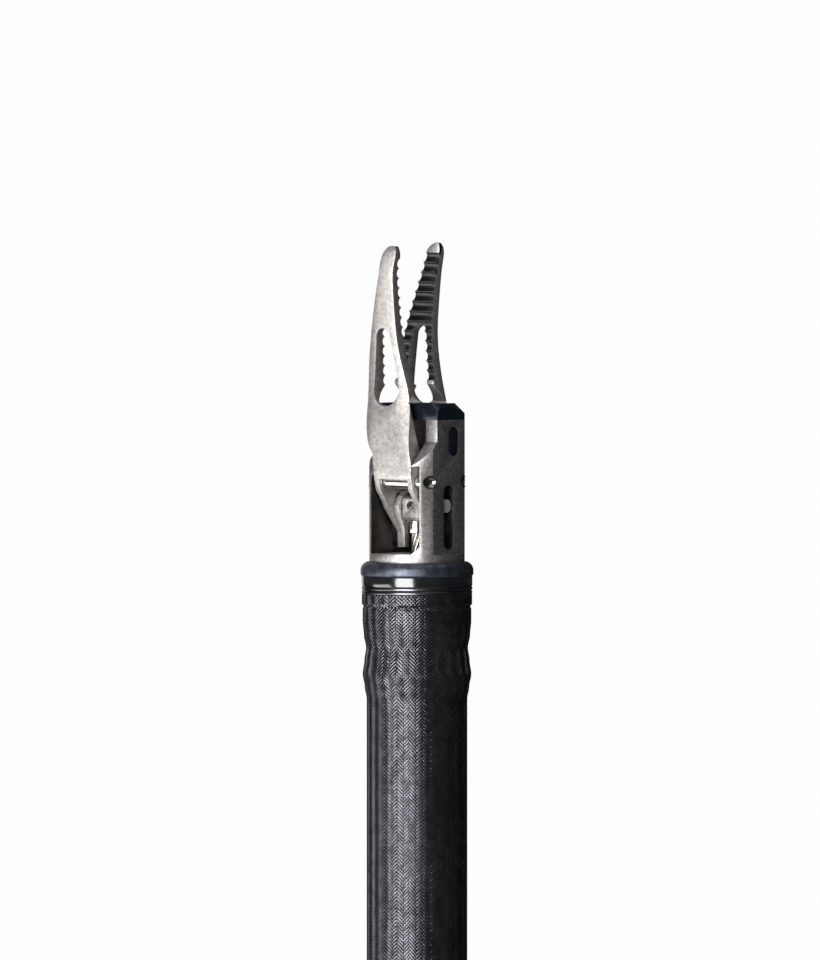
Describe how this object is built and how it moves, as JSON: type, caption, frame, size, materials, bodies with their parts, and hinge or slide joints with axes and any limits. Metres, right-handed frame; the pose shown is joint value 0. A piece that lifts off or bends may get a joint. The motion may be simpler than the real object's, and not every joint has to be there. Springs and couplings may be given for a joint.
{
  "type": "laparoscopic grasper",
  "caption": "Hand-held surgical grasper with a long slim shaft, toothed jaws on a bending braided wrist, and a looped handle with a thumb lever.",
  "frame": {"origin": "centre of the shaft where it comes out of the rotation knob", "axes": "+Z along the shaft towards the jaws, +X towards the thumb ring side of the handle, +Y to the handle's left side"},
  "size_m": [0.1275, 0.028, 0.4782],
  "materials": {
    "black_ring": "gloss",
    "blued_cap": "gloss",
    "braid": "satin woven",
    "cable": "stranded",
    "clevis_steel": "satin",
    "collar_finish": "semi-gloss",
    "dark_plastic": "matte",
    "grey_plastic": "matte",
    "inner_steel": "satin",
    "jaw_steel": "bead-blasted satin",
    "pin_steel": "polished",
    "seal_rubber": "matte",
    "shaft_steel": "satin"
  },
  "bodies": {
    "handle": {"housing_left": "dark_plastic", "housing_right": "dark_plastic", "housing_screws": "pin_steel", "nose_bush": "grey_plastic", "lever_pin": "pin_steel", "flush_port": "shaft_steel"},
    "shaft": {"shaft_tube": "shaft_steel", "rotation_knob": "dark_plastic", "rod_seal": "seal_rubber", "shaft_circlip": "inner_steel", "sleeve_ring": "pin_steel", "base_plug": "inner_steel", "wrist_base": "inner_steel", "wrist_pins_4": "pin_steel", "braided_sleeve": "braid", "tendon_left": "cable", "tendon_right": "cable"},
    "bend_ring": {"bend_ring": "grey_plastic"},
    "carrier_left": {"tendon_carrier_left": "inner_steel"},
    "carrier_right": {"tendon_carrier_right": "inner_steel"},
    "link_3": {"wrist_link_3": "inner_steel", "wrist_pins_3": "pin_steel"},
    "link_2": {"wrist_link_2": "inner_steel", "wrist_pins_2": "pin_steel"},
    "link_1": {"wrist_link_1": "inner_steel", "wrist_pins_1": "pin_steel"},
    "head": {"wrist_head": "inner_steel", "clevis": "clevis_steel", "clevis_cap": "blued_cap", "cap_keys": "clevis_steel", "front_hinge_pin": "pin_steel", "rear_hinge_pin": "pin_steel", "collar": "collar_finish", "retaining_ring": "black_ring", "binding_rings": "pin_steel"},
    "front_jaw": {"front_jaw": "jaw_steel"},
    "rear_jaw": {"rear_jaw": "jaw_steel"},
    "drive_block": {"drive_block": "clevis_steel", "drive_pin": "pin_steel", "block_stud": "pin_steel", "cable_ferrule": "pin_steel"},
    "thumb_lever": {"thumb_lever": "dark_plastic"},
    "drive_rod": {"drive_rod": "shaft_steel", "rod_ball": "pin_steel", "rod_coupler": "inner_steel", "drive_cable": "cable"}
  },
  "joints": [
    {"name": "shaft_rotation", "type": "hinge", "parent": "handle", "child": "shaft", "pos_m": [0, 0, 0], "axis": [0, 0, 1], "continuous": true},
    {"name": "bend_ring_turn", "type": "hinge", "parent": "shaft", "child": "bend_ring", "pos_m": [0, 0, -0.03], "axis": [0, 0, 1], "range_deg": [-120, 120]},
    {"name": "carrier_left_slide", "type": "slide", "parent": "shaft", "child": "carrier_left", "axis": [0, 0, 1], "range_m": [-0.00235, 0.00235]},
    {"name": "carrier_right_slide", "type": "slide", "parent": "shaft", "child": "carrier_right", "axis": [0, 0, 1], "range_m": [-0.00235, 0.00235]},
    {"name": "wrist_4", "type": "hinge", "parent": "shaft", "child": "link_3", "pos_m": [0, 0, 0.2921], "axis": [0, 1, 0], "range_deg": [-15.05, 15.05], "deforming": ["braided_sleeve", "tendon_left", "tendon_right", "drive_cable"]},
    {"name": "wrist_3", "type": "hinge", "parent": "link_3", "child": "link_2", "pos_m": [0, 0, 0.2991], "axis": [0, 1, 0], "range_deg": [-15.05, 15.05]},
    {"name": "wrist_2", "type": "hinge", "parent": "link_2", "child": "link_1", "pos_m": [0, 0, 0.3061], "axis": [0, 1, 0], "range_deg": [-15.05, 15.05]},
    {"name": "wrist_1", "type": "hinge", "parent": "link_1", "child": "head", "pos_m": [0, 0, 0.3131], "axis": [0, 1, 0], "range_deg": [-15.05, 15.05]},
    {"name": "front_jaw_hinge", "type": "hinge", "parent": "head", "child": "front_jaw", "pos_m": [0, -0.00193, 0.3255], "axis": [1, 0, 0], "range_deg": [-7.5, 17.2]},
    {"name": "rear_jaw_hinge", "type": "hinge", "parent": "head", "child": "rear_jaw", "pos_m": [0, 0.00193, 0.3255], "axis": [1, 0, 0], "range_deg": [-17.2, 7.5]},
    {"name": "drive_block_slide", "type": "slide", "parent": "head", "child": "drive_block", "axis": [0, 0, 1], "range_m": [-0.00044, 0.00101]},
    {"name": "thumb_lever_pivot", "type": "hinge", "parent": "handle", "child": "thumb_lever", "pos_m": [0.006, 0, -0.091], "axis": [0, 1, 0], "range_deg": [-4.16, 9.55]},
    {"name": "drive_rod_slide", "type": "slide", "parent": "handle", "child": "drive_rod", "axis": [0, 0, 1], "range_m": [-0.00044, 0.00101]}
  ],
  "couplings": [
    {"joint": "wrist_4", "follows": "bend_ring_turn", "ratio": 0.125},
    {"joint": "wrist_3", "follows": "bend_ring_turn", "ratio": 0.125},
    {"joint": "wrist_2", "follows": "bend_ring_turn", "ratio": 0.125},
    {"joint": "wrist_1", "follows": "bend_ring_turn", "ratio": 0.125},
    {"joint": "carrier_left_slide", "follows": "bend_ring_turn", "m_per_rad": 0.0011},
    {"joint": "carrier_right_slide", "follows": "bend_ring_turn", "m_per_rad": -0.0011},
    {"joint": "front_jaw_hinge", "follows": "thumb_lever_pivot", "ratio": 1.8},
    {"joint": "rear_jaw_hinge", "follows": "thumb_lever_pivot", "ratio": -1.8},
    {"joint": "drive_block_slide", "follows": "thumb_lever_pivot", "m_per_rad": 0.006},
    {"joint": "drive_rod_slide", "follows": "thumb_lever_pivot", "m_per_rad": 0.006}
  ]
}
